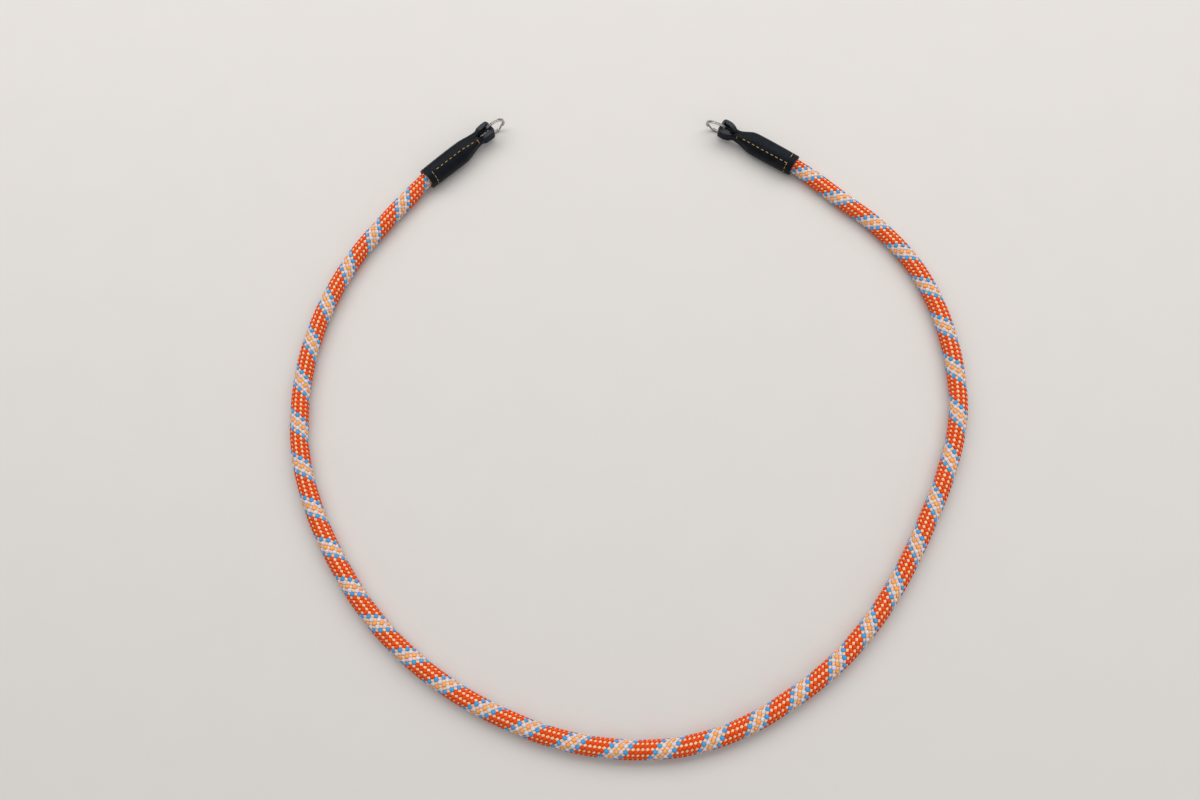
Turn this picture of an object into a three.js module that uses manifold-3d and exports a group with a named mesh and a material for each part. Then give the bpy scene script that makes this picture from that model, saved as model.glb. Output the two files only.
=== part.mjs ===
// A rope strap that lies on a table in one wide open loop: a braided rope whose two ends sit in
// folded leather tabs, each tab with a steel split ring in its eye.
// Millimetres, +Z up. The origin lies on the table, in the middle between the two ends.
import * as THREE from "three";
import { mergeVertices } from "three/addons/utils/BufferGeometryUtils.js";
import Module from "manifold-3d";

const wasm = await Module();
wasm.setup();

// The rope, slightly flattened by its own weight
const ROPE_WIDTH = 11.4;
const ROPE_HEIGHT = 10.2;
const ROPE_SIDES = 12;
const ROPE_STEPS = 80;
// How far each rope end reaches into its tab, and the share of its size that the leather leaves it
const ROPE_IN_TAB = 28;
const GRIP = 0.86;
const GRIP_PAST_MOUTH = 3;
const GRIP_EASE = 14;

// The leather: its wall round the rope, and the narrower strip that carries the ring
const WALL = 1.4;
const LAP_STEP = 1.1;
const LAP_ANGLE = 90;
const LAP_SPREAD = 150;
const FLATTENED = 0.4;
const BULGE = 0.8;
const TAB_LENGTH = 56;
const WAIST_AT = 43.5;
const SHIFT_LATER = 3;
const EYE_FROM = 51.5;
const EYE_CORNER = 2.2;
const STRIP_WALL = 1.6;
const EAR_WALL = 3;
const EYE_FULLNESS = 0.95;
const STRIP_HEIGHT = 7.2;
const ROUND_SQUARENESS = 2.3;
const STRIP_SQUARENESS = 4.5;
const TAB_SIDES = 40;

// The split ring: a flat wire in two turns side by side
const RING_DIAMETER = 15;
const WIRE_DEPTH = 1.5;
const WIRE_THICKNESS = 0.75;
const TURN_GAP = 0.2;
const FULL_TURN = 360;
const CROSSING_AT = -50;
const CROSSING_HALF = 16;
const WIRE_END_CLEARANCE = 3;
const RING_STEPS = 60;

// Clearance between pieces that touch, and under a ring that stands on the table
const GAP = 0.3;
const RING_CLEARANCE = 0.03;

// Where the ends lie: the way each tab points, in degrees from +X
const RIGHT_HEADING = 147.9;
const LEFT_HEADING = 41.9;

// What differs between the two ends. side is 1 where the upper flap comes from -y and -1 where it
// comes from +y. The tab is round over its first length. At one end the strip has shifted to the
// flap's side, and each ring stands in its eye a little aside, its top leant over and its far end
// turned that way too
const RIGHT_END = {
  name: "right",
  side: -1,
  waistWidth: 6.4,
  eyeWidth: 10.4,
  shift: 1.7,
  roundLength: 30,
  ringAside: 2.9,
  ringLean: 12,
  ringTurn: 10,
};
const LEFT_END = {
  name: "left",
  side: 1,
  waistWidth: 8.8,
  eyeWidth: 10.2,
  shift: 0,
  roundLength: 28.4,
  ringAside: 0.7,
  ringLean: 5,
  ringTurn: 9,
};

// The rope's route on the table, from the mouth of the right tab clockwise to the mouth of the
// left one
const ROUTE = [
  [122.6, -10.4],
  [134.0, -18.6],
  [149.4, -32.2],
  [175.6, -54.9],
  [196.8, -82.1],
  [210.1, -114.0],
  [216.2, -148.1],
  [215.5, -182.6],
  [205.8, -215.8],
  [191.2, -247.2],
  [174.5, -277.6],
  [154.7, -306.0],
  [130.8, -331.1],
  [102.8, -351.6],
  [72.3, -368.0],
  [39.1, -377.4],
  [4.5, -378.7],
  [-29.6, -373.3],
  [-62.2, -361.7],
  [-93.0, -345.7],
  [-120.8, -325.1],
  [-144.8, -300.1],
  [-164.2, -271.6],
  [-180.0, -240.8],
  [-190.5, -207.8],
  [-193.5, -173.4],
  [-190.1, -138.9],
  [-180.3, -105.7],
  [-164.8, -74.8],
  [-144.2, -46.9],
  [-131.0, -30.9],
  [-121.8, -20.4],
];

const GRIPPED_WIDTH = ROPE_WIDTH * GRIP;
const GRIPPED_HEIGHT = ROPE_HEIGHT * GRIP;
const ROUND_WIDTH = GRIPPED_WIDTH + 2 * (GAP + WALL);
const ROUND_HEIGHT = GRIPPED_HEIGHT + 2 * (GAP + WALL);
const ROPE_LIFT_IN_TAB = ROUND_HEIGHT / 2;
const RING_OUTER = RING_DIAMETER / 2;
const RING_INNER = RING_OUTER - WIRE_DEPTH;
const RING_THICKNESS = 2 * WIRE_THICKNESS + TURN_GAP;
const STRIP_LIFT = RING_OUTER + RING_CLEARANCE;

const fabric = new THREE.MeshStandardMaterial({ color: 0xe06a2c, roughness: 0.85, metalness: 0 });
const leather = new THREE.MeshStandardMaterial({ color: 0x141b21, roughness: 0.55, metalness: 0 });
const steel = new THREE.MeshStandardMaterial({ color: 0xc8c6c4, roughness: 0.22, metalness: 1 });

// A closed surface through rings of points that have as many points each
function loft(rings) {
  const count = rings[0].length;
  const points = rings.flat();
  const faces = [];
  rings.slice(1).forEach((_, row) => {
    for (let i = 0; i < count; i += 1) {
      const a = row * count + i;
      const b = row * count + ((i + 1) % count);
      faces.push(a, b, a + count, b, b + count, a + count);
    }
  });
  const middle = (ring) =>
    ring.reduce((sum, p) => sum.add(p), new THREE.Vector3()).divideScalar(count);
  const last = (rings.length - 1) * count;
  points.push(middle(rings[0]), middle(rings.at(-1)));
  for (let i = 0; i < count; i += 1) {
    const next = (i + 1) % count;
    faces.push(points.length - 2, next, i);
    faces.push(points.length - 1, last + i, last + next);
  }
  const geometry = new THREE.BufferGeometry().setFromPoints(points);
  geometry.setIndex(faces);
  return geometry;
}

// A geometry as a solid that can be cut
function solid(geometry) {
  const bare = geometry.clone();
  bare.deleteAttribute("normal");
  bare.deleteAttribute("uv");
  const merged = mergeVertices(bare);
  return new wasm.Manifold(
    new wasm.Mesh({
      numProp: 3,
      vertProperties: merged.attributes.position.array,
      triVerts: new Uint32Array(merged.index.array),
    }),
  );
}

// A cut solid as a geometry again
function geometryOf(cut) {
  const mesh = cut.getMesh();
  const geometry = new THREE.BufferGeometry();
  geometry.setAttribute("position", new THREE.BufferAttribute(mesh.vertProperties, 3));
  geometry.setIndex(new THREE.BufferAttribute(mesh.triVerts, 1));
  geometry.computeVertexNormals();
  return geometry;
}

// From low to high as x goes from start to end, without a kink
function ease(x, start, end, low, high) {
  return THREE.MathUtils.lerp(low, high, THREE.MathUtils.smoothstep(x, start, end));
}

// How far the leather's middle lies to the side of the tab's axis, at x along it
function shiftAt(x, end) {
  return -end.side * ease(x, end.roundLength + SHIFT_LATER, WAIST_AT, 0, end.shift);
}

// One cross-section of a tab at x along it: a rounded outline that starts at the seam's edge,
// where the leather laps over itself, and is flat where it rests on the table
function tabSection(x, end) {
  const body = ROUND_WIDTH + BULGE * Math.sin((Math.PI * Math.min(x, WAIST_AT)) / WAIST_AT);
  const toWaist = ease(x, end.roundLength, WAIST_AT, body, end.waistWidth);
  const toEye = ease(x, WAIST_AT, EYE_FROM, 0, end.eyeWidth - end.waistWidth);
  const past = Math.min(1, Math.max(0, (x - TAB_LENGTH + EYE_CORNER) / EYE_CORNER));
  const corner = EYE_CORNER * (1 - Math.sqrt(1 - past ** 2));
  const width = toWaist + toEye - 2 * corner;
  const height = ease(x, end.roundLength, WAIST_AT, ROUND_HEIGHT + 2 * FLATTENED, STRIP_HEIGHT);
  const lift = ease(x, end.roundLength, WAIST_AT, ROUND_HEIGHT / 2, STRIP_LIFT);
  const power = 2 / ease(x, end.roundLength, WAIST_AT, ROUND_SQUARENESS, STRIP_SQUARENESS);
  const lap = ease(x, end.roundLength, WAIST_AT, LAP_STEP, 0);
  const ring = [];
  for (let i = 0; i < TAB_SIDES; i += 1) {
    const turn = (359 * i) / (TAB_SIDES - 1);
    const angle = THREE.MathUtils.degToRad(LAP_ANGLE + turn);
    const [c, s] = [Math.cos(angle), Math.sin(angle)];
    const proud = lap * (1 - THREE.MathUtils.smoothstep(turn, 0, LAP_SPREAD));
    const y = (Math.sign(c) * Math.abs(c) ** power * width) / 2 + proud * c;
    const z = (Math.sign(s) * Math.abs(s) ** power * height) / 2 + proud * s;
    ring.push(new THREE.Vector3(x, end.side * y + shiftAt(x, end), Math.max(0, lift + z)));
  }
  return end.side > 0 ? ring : ring.reverse();
}

// An upright ellipse of the rope as the leather grips it, at x along the tab
function gripSection(x, clearance) {
  const ring = [];
  for (let i = 0; i < ROPE_SIDES * 2; i += 1) {
    const angle = (Math.PI * i) / ROPE_SIDES;
    const y = (GRIPPED_WIDTH / 2 + clearance) * Math.cos(angle);
    const z = (GRIPPED_HEIGHT / 2 + clearance) * Math.sin(angle);
    ring.push(new THREE.Vector3(x, y, ROPE_LIFT_IN_TAB + z));
  }
  return ring;
}

// The upright hole of the eye: it opens from the waist to the strip that closes the end
function eyeHole(end) {
  const front = TAB_LENGTH - STRIP_WALL;
  const half = end.eyeWidth / 2 - EAR_WALL;
  const corner = EYE_CORNER / 2;
  const middle = (WAIST_AT + front) / 2;
  const outline = new THREE.Shape();
  outline.moveTo(WAIST_AT, 0);
  outline.quadraticCurveTo(middle, -half * EYE_FULLNESS, front - corner, -half);
  outline.quadraticCurveTo(front, -half, front, corner - half);
  outline.lineTo(front, half - corner);
  outline.quadraticCurveTo(front, half, front - corner, half);
  outline.quadraticCurveTo(middle, half * EYE_FULLNESS, WAIST_AT, 0);
  const hole = new THREE.ExtrudeGeometry(outline, {
    depth: ROUND_HEIGHT + STRIP_HEIGHT,
    bevelEnabled: false,
    curveSegments: 6,
  });
  return hole.translate(0, shiftAt(front, end), 0);
}

// A folded leather tab, its mouth at x = 0 and its eye at the far end
function tabGeometry(end) {
  const places = [];
  const neck = WAIST_AT - end.roundLength;
  for (let i = 0; i < 4; i += 1) places.push((end.roundLength * i) / 4);
  for (let i = 0; i < 6; i += 1) places.push(end.roundLength + (neck * i) / 6);
  for (let i = 0; i < 4; i += 1) places.push(WAIST_AT + ((EYE_FROM - WAIST_AT) * i) / 4);
  places.push(EYE_FROM);
  const cornerFrom = TAB_LENGTH - EYE_CORNER;
  for (let i = 0; i < 4; i += 1) places.push(cornerFrom + EYE_CORNER * Math.sin((Math.PI * i) / 6.6));
  places.push(TAB_LENGTH);
  const outside = solid(loft(places.map((x) => tabSection(x, end))));
  const hollow = solid(
    loft([gripSection(-WALL, GAP), gripSection(ROPE_IN_TAB + GAP, GAP)]),
  );
  return geometryOf(outside.subtract(hollow).subtract(solid(eyeHole(end))));
}

// The split ring's wire: nearly two turns round y, with the step from one turn to the other
class WirePath extends THREE.Curve {
  getPoint(t) {
    const first = CROSSING_HALF + WIRE_END_CLEARANCE;
    const turn = first + t * (2 * FULL_TURN - 2 * first);
    const angle = THREE.MathUtils.degToRad(CROSSING_AT + turn);
    const radius = RING_OUTER - WIRE_DEPTH / 2;
    const half = (WIRE_THICKNESS + TURN_GAP) / 2;
    const along = ease(turn - FULL_TURN, -CROSSING_HALF, CROSSING_HALF, -half, half);
    return new THREE.Vector3(radius * Math.cos(angle), along, radius * Math.sin(angle));
  }
}

function ringGeometry() {
  const [half, deep] = [WIRE_THICKNESS / 2, WIRE_DEPTH / 2];
  const section = new THREE.Shape([
    new THREE.Vector2(-half, -deep),
    new THREE.Vector2(half, -deep),
    new THREE.Vector2(half, deep),
    new THREE.Vector2(-half, deep),
  ]);
  return new THREE.ExtrudeGeometry(section, {
    steps: RING_STEPS,
    extrudePath: new WirePath(),
    bevelEnabled: false,
  });
}

// Where a ring's centre is in its tab's frame: it stands on the table, and the strip's two edges
// bear on the inside of its wire
function ringCentre(end) {
  const lean = THREE.MathUtils.degToRad(end.ringLean);
  const half = RING_THICKNESS / 2;
  const edge = (STRIP_HEIGHT / 2 + half * Math.sin(lean)) / Math.cos(lean);
  const room = RING_INNER - GAP - half * Math.sin(THREE.MathUtils.degToRad(end.ringTurn));
  const past = Math.sqrt(room ** 2 - edge ** 2);
  const lift = RING_OUTER * Math.cos(lean) + half * Math.sin(lean) + RING_CLEARANCE;
  return new THREE.Vector3(TAB_LENGTH - STRIP_WALL + past, -end.side * end.ringAside, lift);
}

// A tab and its ring in the tab's own frame, placed at the mouth and turned to its heading
function strapEnd(end, mouth, heading) {
  const group = new THREE.Group();
  group.position.set(mouth[0], mouth[1], 0);
  group.rotation.z = THREE.MathUtils.degToRad(heading);
  const tab = new THREE.Mesh(tabGeometry(end), leather.clone());
  tab.name = `${end.name}_leather_tab`;
  const ring = new THREE.Mesh(ringGeometry(), steel.clone());
  ring.name = `${end.name}_split_ring`;
  ring.position.copy(ringCentre(end));
  const lean = end.side * THREE.MathUtils.degToRad(end.ringLean);
  const turn = -end.side * THREE.MathUtils.degToRad(end.ringTurn);
  ring.rotation.set(lean, 0, turn, "ZYX");
  group.add(tab, ring);
  return group;
}

// The rope's points inside a tab, from its cut end to just before the mouth
function hiddenPoints(mouth, heading) {
  const way = THREE.MathUtils.degToRad(heading);
  return [1, 0.5].map((share) => {
    const x = mouth[0] + share * ROPE_IN_TAB * Math.cos(way);
    const y = mouth[1] + share * ROPE_IN_TAB * Math.sin(way);
    return new THREE.Vector3(x, y, ROPE_LIFT_IN_TAB);
  });
}

function ropeCurve() {
  const visible = ROUTE.map(([x, y], i) => {
    const atMouth = i === 0 || i === ROUTE.length - 1;
    return new THREE.Vector3(x, y, atMouth ? ROPE_LIFT_IN_TAB : ROPE_HEIGHT / 2);
  });
  const right = hiddenPoints(ROUTE[0], RIGHT_HEADING);
  const left = hiddenPoints(ROUTE.at(-1), LEFT_HEADING).reverse();
  const curve = new THREE.CatmullRomCurve3([...right, ...visible, ...left], false, "centripetal");
  curve.arcLengthDivisions = 1000;
  return curve;
}

// The rope: an oval swept along its route, then narrowed where the leather grips it
function ropeGeometry() {
  const corners = [];
  for (let i = 0; i < ROPE_SIDES; i += 1) {
    const angle = (2 * Math.PI * i) / ROPE_SIDES;
    corners.push(
      new THREE.Vector2((ROPE_HEIGHT / 2) * Math.cos(angle), (ROPE_WIDTH / 2) * Math.sin(angle)),
    );
  }
  const curve = ropeCurve();
  const tube = new THREE.ExtrudeGeometry(new THREE.Shape(corners), {
    steps: ROPE_STEPS,
    extrudePath: curve,
    bevelEnabled: false,
  });
  const centres = curve.getSpacedPoints(ROPE_STEPS);
  const step = curve.getLength() / ROPE_STEPS;
  const gripped = ROPE_IN_TAB + GRIP_PAST_MOUTH;
  const position = tube.attributes.position;
  const point = new THREE.Vector3();
  for (let i = 0; i < position.count; i += 1) {
    point.fromBufferAttribute(position, i);
    const distances = centres.map((centre) => centre.distanceToSquared(point));
    const nearest = distances.indexOf(Math.min(...distances));
    const fromEnd = step * Math.min(nearest, ROPE_STEPS - nearest);
    const size = ease(fromEnd, gripped, gripped + GRIP_EASE, GRIP, 1);
    point.sub(centres[nearest]).multiplyScalar(size).add(centres[nearest]);
    position.setXYZ(i, point.x, point.y, Math.max(0, point.z));
  }
  tube.computeVertexNormals();
  return tube;
}

const rope = new THREE.Mesh(ropeGeometry(), fabric);
rope.name = "rope";

const strap = new THREE.Group();
strap.add(
  rope,
  strapEnd(RIGHT_END, ROUTE[0], RIGHT_HEADING),
  strapEnd(LEFT_END, ROUTE.at(-1), LEFT_HEADING),
);

export default strap;
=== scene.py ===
"""A rope strap with folded leather ends and split rings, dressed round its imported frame."""

import math

import bmesh
import bpy
import numpy as np
from mathutils import Matrix, Vector


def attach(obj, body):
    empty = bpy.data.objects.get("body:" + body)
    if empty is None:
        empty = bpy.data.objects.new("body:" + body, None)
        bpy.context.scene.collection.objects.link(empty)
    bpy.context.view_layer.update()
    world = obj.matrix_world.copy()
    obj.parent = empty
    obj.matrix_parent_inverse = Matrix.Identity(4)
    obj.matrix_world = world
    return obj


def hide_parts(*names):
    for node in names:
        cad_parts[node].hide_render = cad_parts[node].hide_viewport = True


bl_info = {
    "name": "Rope strap",
    "version": (1, 0, 0),
    "blender": (4, 5, 0),
    "location": "View3D > Sidebar > Strap",
    "description": "Braided rope strap with sewn leather ends and steel split rings",
    "category": "Add Mesh",
}

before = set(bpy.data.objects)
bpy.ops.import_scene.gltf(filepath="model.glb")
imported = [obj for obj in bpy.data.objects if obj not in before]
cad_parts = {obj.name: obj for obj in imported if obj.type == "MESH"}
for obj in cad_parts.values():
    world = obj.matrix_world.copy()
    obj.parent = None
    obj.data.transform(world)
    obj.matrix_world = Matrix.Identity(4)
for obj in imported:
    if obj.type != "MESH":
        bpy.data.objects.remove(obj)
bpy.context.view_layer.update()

MM = 0.001

# The rope's route on the table, in metres, from the mouth of the right tab to that of the left one
ROUTE = (
    (0.1226, -0.0104),
    (0.1340, -0.0186),
    (0.1494, -0.0322),
    (0.1756, -0.0549),
    (0.1968, -0.0821),
    (0.2101, -0.1140),
    (0.2162, -0.1481),
    (0.2155, -0.1826),
    (0.2058, -0.2158),
    (0.1912, -0.2472),
    (0.1745, -0.2776),
    (0.1547, -0.3060),
    (0.1308, -0.3311),
    (0.1028, -0.3516),
    (0.0723, -0.3680),
    (0.0391, -0.3774),
    (0.0045, -0.3787),
    (-0.0296, -0.3733),
    (-0.0622, -0.3617),
    (-0.0930, -0.3457),
    (-0.1208, -0.3251),
    (-0.1448, -0.3001),
    (-0.1642, -0.2716),
    (-0.1800, -0.2408),
    (-0.1905, -0.2078),
    (-0.1935, -0.1734),
    (-0.1901, -0.1389),
    (-0.1803, -0.1057),
    (-0.1648, -0.0748),
    (-0.1442, -0.0469),
    (-0.1310, -0.0309),
    (-0.1218, -0.0204),
)
ROPE_IN_TAB = 28 * MM
GRIP = 0.86
GRIP_PAST_MOUTH = 3 * MM
GRIP_EASE = 14 * MM
CLEARANCE = 0.3 * MM

# Each end: where its tab starts and the way it points in degrees from +X, the side that the upper
# flap of leather comes from, the widths of waist and eye and how far they have shifted to that
# side, the length that stays round, and how the ring stands in the eye. The stitches have the
# place of the first one, their pitch and their number; the rest of the seam is in degrees round
# the tab
ENDS = {
    "right": {
        "mouth": ROUTE[0],
        "heading": 147.9,
        "side": -1,
        "waist": 6.4 * MM,
        "eye": 10.4 * MM,
        "shift": 1.7 * MM,
        "round_length": 30 * MM,
        "ring_aside": 2.9 * MM,
        "ring_lean": math.radians(12),
        "ring_turn": math.radians(10),
        "seam": 122.5,
        "stitches": (5.2 * MM, 3.53 * MM, 10),
        "corner_row": (130, 155, 183.5),
        "top_dash": (53, 87),
        "neck_thread": (121, 162),
    },
    "left": {
        "mouth": ROUTE[-1],
        "heading": 41.9,
        "side": 1,
        "waist": 8.8 * MM,
        "eye": 10.2 * MM,
        "shift": 0,
        "round_length": 28.4 * MM,
        "ring_aside": 0.7 * MM,
        "ring_lean": math.radians(5),
        "ring_turn": math.radians(9),
        "seam": 104.5,
        "stitches": (8.8 * MM, 3.65 * MM, 9),
        "corner_row": (108.5, 132, 157, 184),
        "top_dash": None,
        "neck_thread": (98, 173),
    },
}

# The leather: wall, lap, the lengths of the tab's stretches, and the degrees between the two
# flaps where they meet
WALL = 1.4 * MM
LAP_STEP = 1.1 * MM
LAP_ANGLE = 90
LAP_SPREAD = 150
FLATTENED = 0.4 * MM
BULGE = 0.8 * MM
TAB_LENGTH = 56 * MM
WAIST_AT = 43.5 * MM
SHIFT_LATER = 3 * MM
EYE_FROM = 51.5 * MM
EYE_CORNER = 2.2 * MM
STRIP_WALL = 1.6 * MM
EAR_WALL = 3 * MM
EYE_FULLNESS = 0.95
CLOSES_OVER = 6 * MM
PRESSED_PAST_WAIST = 2 * MM
OPENS_BEFORE = 1.5 * MM
OPENS_AFTER = 4 * MM
EAR_THINS_OVER = 2.5 * MM
STRIP_HEIGHT = 7.2 * MM
ROUND_SQUARENESS = 2.3
STRIP_SQUARENESS = 4.5
FLAPS_APART = 0.5
EDGE_ROUNDING = 0.28 * MM

# The seam: places along the tab of the row round the mouth and of the thread that closes the neck
CORNER_ROW_AT = 4.4 * MM
NECK_THREAD_AT = 42.2 * MM

# A stitch: how far its middle stands off along the tab and across it, and its thickness at the tip
# as a share of the whole
BOW_ALONG = 0.04 * MM
BOW_ACROSS = 0.16 * MM
TIP_SHARE = 0.15

# The split ring
RING_DIAMETER = 15 * MM
WIRE_DEPTH = 1.5 * MM
WIRE_THICKNESS = 0.75 * MM
TURN_GAP = 0.2 * MM
RING_CLEARANCE = 0.03 * MM
STRIP_LIFT = RING_DIAMETER / 2 + RING_CLEARANCE
FULL_TURN = 360
CROSSING_AT = -50
CROSSING_HALF = 16
WIRE_END_CLEARANCE = 3

# The braid at places along the rope from the right tab's mouth: the length of one turn of a strand
# there, and the degrees that the whole rope is twisted to its left. Then how much of a turn past
# the mouth the pale strand first lies on top, how far the strands spread on the back and under
# the rope, the share of its width that a strand keeps where it dives, how far the braid goes on
# into the tabs, and how far apart in the yarn's pattern two strands start
BRAID_ALONG = (
    (0, 26.6 * MM, -12),
    (120 * MM, 28.3 * MM, -6),
    (230 * MM, 29.4 * MM, -2),
    (330 * MM, 28.6 * MM, -1),
    (430 * MM, 28.2 * MM, -4),
    (540 * MM, 27 * MM, -17),
    (740 * MM, 27.3 * MM, -55),
    (900 * MM, 27.8 * MM, -85),
    (1000 * MM, 28.7 * MM, -90),
)
FIRST_PALE_TURN = 0.48
STRANDS_EACH_WAY = 10
STEPS_PER_CROSSING = 4
SIDE_SPREAD = 0.06
DIVING_SHARE = 0.85
BRAID_IN_TAB = 6 * MM
STREAKS_APART = 40
CORE_STEPS = 500
LAY = ("blue", "white", "pale", "white", "blue", "red", "red", "red", "red", "red")
COLOURED = {"blue": (0, 4), "white": (1, 3), "pale": (2,), "red_a": (5, 6, 7), "red_b": (8, 9)}
CREAM = {"a": (0, 4, 8), "b": (1, 5, 9), "c": (2, 6), "d": (3, 7)}

# The view: a camera of this focal length in pixels of a 1200 wide picture, with a sensor 36
# millimetres wide
PICTURE_WIDTH = 1200
FOCAL_PIXELS = 1006
CAMERA_PLACE = (-0.00685, -0.3455, 0.608)
CAMERA_TILT = math.radians(16)
SENSOR = 36

# The stage: the lights have a place, a size and a share of the main light's power
FLOOR_REACH = 4
LOOP_MIDDLE = (0, -0.18, 0)
LIGHTS = {
    "window_light": ((-0.1, 0.7, 1.2), (3.8, 1.1), 1),
    "fill_light": ((0.9, -0.9, 0.9), (1.2, 1.2), 0.1),
}
ROOM_COLOUR = "#E9EDF2"
ROOM_STRENGTH = 0.5


def smooth(x, start, end):
    """0 before start and 1 past end, without a kink between them."""
    t = np.clip((np.asarray(x, float) - start) / (end - start), 0, 1)
    return t * t * (3 - 2 * t)


def ease(x, start, end, low, high):
    return low + (high - low) * smooth(x, start, end)


def linear(hex_colour):
    """An sRGB hex colour as the linear RGBA that Blender's sockets take."""
    values = [int(hex_colour[i : i + 2], 16) / 255 for i in (1, 3, 5)]
    return tuple(v / 12.92 if v <= 0.04045 else ((v + 0.055) / 1.055) ** 2.4 for v in values) + (1,)


def colour_prop(name, description, hex_colour):
    return bpy.props.FloatVectorProperty(
        name=name,
        description=description,
        subtype="COLOR",
        size=4,
        min=0,
        max=1,
        default=linear(hex_colour),
    )


def length_prop(name, description, default):
    return bpy.props.FloatProperty(
        name=name, description=description, default=default, min=0, subtype="DISTANCE", unit="LENGTH"
    )


class RopeSettings(bpy.types.PropertyGroup):
    width: length_prop("Width", "Width of the rope as it lies", 11.4 * MM)
    height: length_prop("Height", "Height of the rope as it lies", 10.2 * MM)
    float_width: length_prop("Float width", "Width of a strand where it lies on top", 3.05 * MM)
    cream_width: length_prop("Cream width", "Width of a cream strand on top", 2.9 * MM)
    strand_depth: length_prop("Strand depth", "Thickness of a coloured strand", 1.35 * MM)
    cream_depth: length_prop("Cream depth", "Thickness of a cream strand", 1.0 * MM)
    weave: length_prop("Weave", "How far a coloured strand rises and dips", 0.42 * MM)
    cream_weave: length_prop("Cream weave", "How far a cream strand rises and dips", 0.3 * MM)
    cream_sunk: length_prop("Cream sunk", "How much deeper the cream strands lie", 0.1 * MM)
    red: colour_prop("Red", "Red-orange strands", "#F04E0A")
    cream: colour_prop("Cream", "Strands wound the other way", "#FFCA96")
    pale: colour_prop("Pale", "Pale orange strand", "#FFAE66")
    white: colour_prop("White", "White strands", "#E0D8E0")
    blue: colour_prop("Blue", "Blue strands", "#4CA6E2")


class LeatherSettings(bpy.types.PropertyGroup):
    colour: colour_prop("Leather", "Dyed face of the leather", "#070C12")
    # Partly the cut edge's own tone, partly a painted highlight: lighter and bluer than the face along
    # the strip's edges
    edge: colour_prop("Edge", "Cut edge of the leather", "#272C31")
    thread: colour_prop("Thread", "Sewing thread", "#E0B35A")
    stitch: length_prop("Stitch", "Length of one stitch that shows", 2.0 * MM)
    thread_width: length_prop("Thread width", "Thickness of the thread", 0.48 * MM)


class RingSettings(bpy.types.PropertyGroup):
    colour: colour_prop("Metal", "Nickel plate", "#B9B5B2")
    roundness: bpy.props.FloatProperty(
        name="Roundness", description="How square the wire's section is", default=5.0, min=2
    )


class StageSettings(bpy.types.PropertyGroup):
    floor: colour_prop("Floor", "Colour of the floor", "#D8D2CC")
    light: bpy.props.FloatProperty(
        name="Light", description="Strength of the main light", default=31, min=0, unit="POWER"
    )


class Route:
    """The rope's centreline, with a frame of its own at each place along it."""

    def __init__(self, rope):
        lift = self.lift = (rope.height * GRIP) / 2 + CLEARANCE + WALL
        flat = [(x, y, rope.height / 2) for x, y in ROUTE]
        flat[0] = (*ROUTE[0], lift)
        flat[-1] = (*ROUTE[-1], lift)
        right = [hidden_point("right", share, lift) for share in (1, 0.5)]
        left = [hidden_point("left", share, lift) for share in (0.5, 1)]
        fine = centripetal(np.array(right + flat + left))
        along = np.concatenate([[0], np.cumsum(np.linalg.norm(np.diff(fine, axis=0), axis=1))])
        self.length = along[-1]
        self.at = np.linspace(0, self.length, int(self.length / MM))
        self.points = np.stack([np.interp(self.at, along, fine[:, i]) for i in range(3)], axis=1)
        ahead = np.gradient(self.points, axis=0)
        self.ahead = ahead / np.linalg.norm(ahead, axis=1)[:, None]
        places, turn_lengths, _ = zip(*BRAID_ALONG)
        from_mouth = self.at - ROPE_IN_TAB
        self.made = np.cumsum(np.gradient(self.at) / np.interp(from_mouth, places, turn_lengths))
        self.made -= np.interp(0, from_mouth, self.made)

    def place(self, at):
        """Points at those lengths, with the directions to the left of the way and up."""
        spot = np.stack([np.interp(at, self.at, self.points[:, i]) for i in range(3)], axis=-1)
        ahead = np.stack([np.interp(at, self.at, self.ahead[:, i]) for i in range(3)], axis=-1)
        left = np.stack([-ahead[..., 1], ahead[..., 0], np.zeros(ahead.shape[:-1])], axis=-1)
        left /= np.linalg.norm(left, axis=-1)[..., None]
        return spot, left, np.cross(ahead, left)

    def grip(self, at):
        """The share of its size that the leather leaves the rope at those lengths."""
        from_end = np.minimum(at, self.length - at)
        start = ROPE_IN_TAB + GRIP_PAST_MOUTH
        return ease(from_end, start, start + GRIP_EASE, GRIP, 1)

    def turns(self, at):
        """How many turns the braid has made at those lengths, from the right tab's mouth."""
        return np.interp(at, self.at, self.made)

    def twist(self, at):
        """How far the whole rope is twisted at those lengths, in radians."""
        places, _, degrees = zip(*BRAID_ALONG)
        return np.radians(np.interp(np.asarray(at) - ROPE_IN_TAB, places, degrees))


def hidden_point(end, share, lift):
    """A point of the rope inside a tab, that share of the way in from the mouth."""
    (x, y), way = ENDS[end]["mouth"], math.radians(ENDS[end]["heading"])
    reach = share * ROPE_IN_TAB
    return (x + reach * math.cos(way), y + reach * math.sin(way), lift)


def centripetal(knots, steps=40):
    """Points close together on the smooth curve through the knots."""
    knots = np.vstack([2 * knots[0] - knots[1], knots, 2 * knots[-1] - knots[-2]])
    gaps = np.sqrt(np.linalg.norm(np.diff(knots, axis=0), axis=1))
    t = np.linspace(0, 1, steps, endpoint=False)[:, None]
    found = []
    for i in range(1, len(knots) - 2):
        p0, p1, p2, p3 = knots[i - 1 : i + 3]
        a, b, c = gaps[i - 1 : i + 2]
        start = b * ((p1 - p0) / a - (p2 - p0) / (a + b) + (p2 - p1) / b)
        end = b * ((p2 - p1) / b - (p3 - p1) / (b + c) + (p3 - p2) / c)
        cubic = 2 * p1 - 2 * p2 + start + end
        square = 3 * (p2 - p1) - 2 * start - end
        found.append(p1 + start * t + square * t**2 + cubic * t**3)
    return np.vstack([*found, knots[-2:-1]])


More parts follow.
